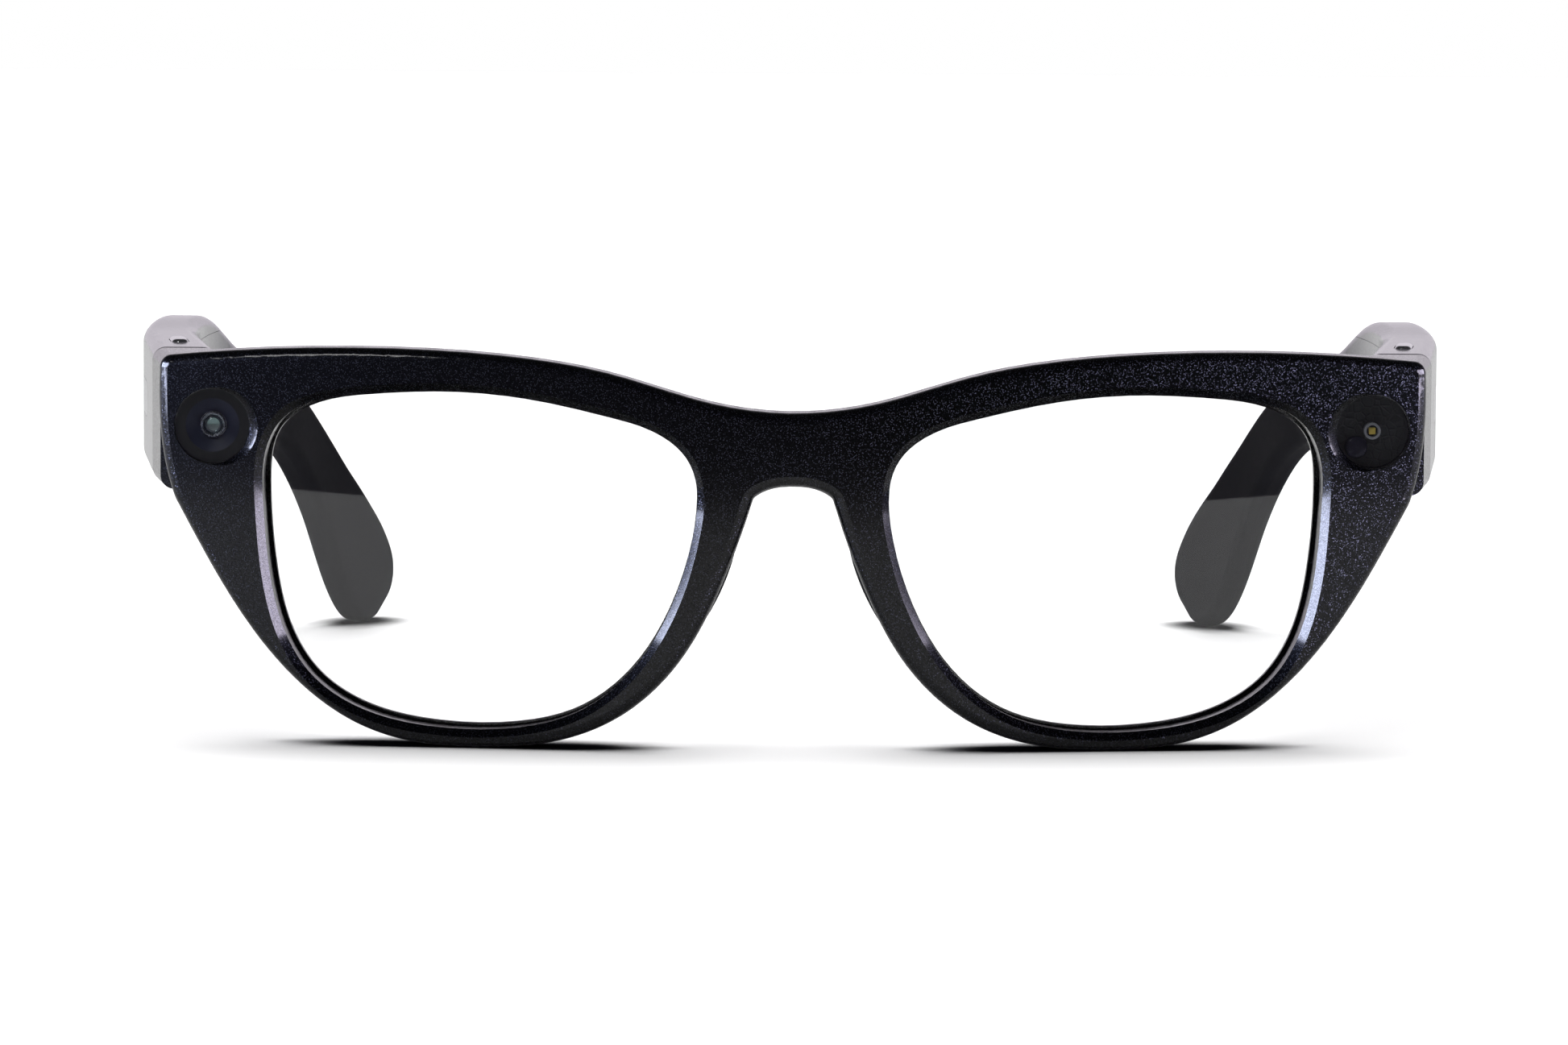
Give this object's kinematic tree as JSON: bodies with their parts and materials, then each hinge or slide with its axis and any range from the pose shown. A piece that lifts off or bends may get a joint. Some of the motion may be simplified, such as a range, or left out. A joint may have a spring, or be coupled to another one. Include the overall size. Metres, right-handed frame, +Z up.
{
  "type": "smart glasses",
  "caption": "Folding smart glasses: thick wrapped front with clear lenses, round camera and light windows in the corners, hinged temples with hidden electronics.",
  "frame": {"origin": "centre of the bounding box at table level, glasses open and standing on the rim bottoms and temple tips", "axes": "+X towards the wearer's left temple, +Y from the front towards the temple tips, +Z up"},
  "size_m": [0.1652, 0.15, 0.0477],
  "materials": {
    "front_shell": "glossy clear coat over a fine dark metallic flake",
    "rear_shell": "glossy clear coat over a fine dark metallic flake",
    "temple_shell": "glossy clear coat over a fine dark metallic flake",
    "temple_cover": "satin moulded",
    "temple_tip": "satin soft touch",
    "lens": "clear, anti-reflection coated",
    "nose_pad": "soft satin",
    "flex": "polyimide film",
    "metal_can": "tinned steel can",
    "hinge_steel": "satin steel",
    "screw_steel": "bright steel",
    "window_glass": "polished dark glass",
    "camera_bezel": "dark blue-black, stepped",
    "camera_ring": "machined ring",
    "camera_glass": "coated lens element",
    "light_guide": "translucent ring",
    "led_chip": "phosphor chip",
    "sensor_glass": "dark filter",
    "circuit_board": "solder mask",
    "switch": "moulded with steel dome",
    "charging_pad": "satin",
    "gold_contact": "gold plated",
    "button_metal": "polished",
    "badge_metal": "polished, blank",
    "speaker": "moulded",
    "grille": "blackened perforated steel",
    "battery_foil": "foil pouch"
  },
  "bodies": {
    "front": {"front_frame": "front_shell", "rear_frame": "rear_shell", "left_lens": "lens", "right_lens": "lens", "left_nose_pad": "nose_pad", "right_nose_pad": "nose_pad", "front_flex_cable": "flex", "bridge_microphone": "metal_can", "left_front_hinge": "hinge_steel", "right_front_hinge": "hinge_steel", "hinge_mount_screws": "screw_steel", "hinge_screws": "screw_steel", "camera_window": "window_glass", "camera_bezel": "camera_bezel", "camera_barrel": "camera_ring", "camera_iris": "camera_bezel", "camera_lens_element": "camera_glass", "camera_sensor": "metal_can", "led_window": "window_glass", "led_light_ring": "light_guide", "led_emitter": "led_chip", "light_sensor": "sensor_glass", "led_board": "circuit_board"},
    "right_temple": {"right_temple_housing": "temple_shell", "right_temple_cover": "temple_cover", "right_temple_tip": "temple_tip", "right_temple_hinge": "hinge_steel", "right_badge": "badge_metal", "right_speaker": "speaker", "right_speaker_grille": "grille", "right_cover_screws": "screw_steel", "right_battery": "battery_foil", "right_microphone": "metal_can", "main_board": "circuit_board", "processor_shield": "metal_can", "capture_switch": "switch"},
    "left_temple": {"left_temple_housing": "temple_shell", "left_temple_cover": "temple_cover", "left_temple_tip": "temple_tip", "left_temple_hinge": "hinge_steel", "left_badge": "badge_metal", "left_speaker": "speaker", "left_speaker_grille": "grille", "left_cover_screws": "screw_steel", "left_battery": "battery_foil", "left_microphone": "metal_can", "charging_board": "circuit_board", "charging_pad": "charging_pad", "charging_contacts": "gold_contact", "power_switch": "switch"},
    "capture_button": {"capture_button": "button_metal"},
    "power_button": {"power_button": "button_metal"}
  },
  "joints": [
    {"name": "right_temple_fold", "type": "hinge", "parent": "front", "child": "right_temple", "pos_m": [-0.0699, -0.052, 0.0382], "axis": [0, 0, -1], "range_deg": [0, 86]},
    {"name": "left_temple_fold", "type": "hinge", "parent": "front", "child": "left_temple", "pos_m": [0.0699, -0.052, 0.0382], "axis": [0, 0, 1], "range_deg": [0, 74]},
    {"name": "capture_button_press", "type": "slide", "parent": "right_temple", "child": "capture_button", "axis": [0, 0, -1], "range_m": [0, 0.00035], "stiffness_N_per_m": 400, "springref_m": -0.0005},
    {"name": "power_button_press", "type": "slide", "parent": "left_temple", "child": "power_button", "axis": [0, 0, -1], "range_m": [0, 0.00035], "stiffness_N_per_m": 400, "springref_m": -0.0005}
  ]
}
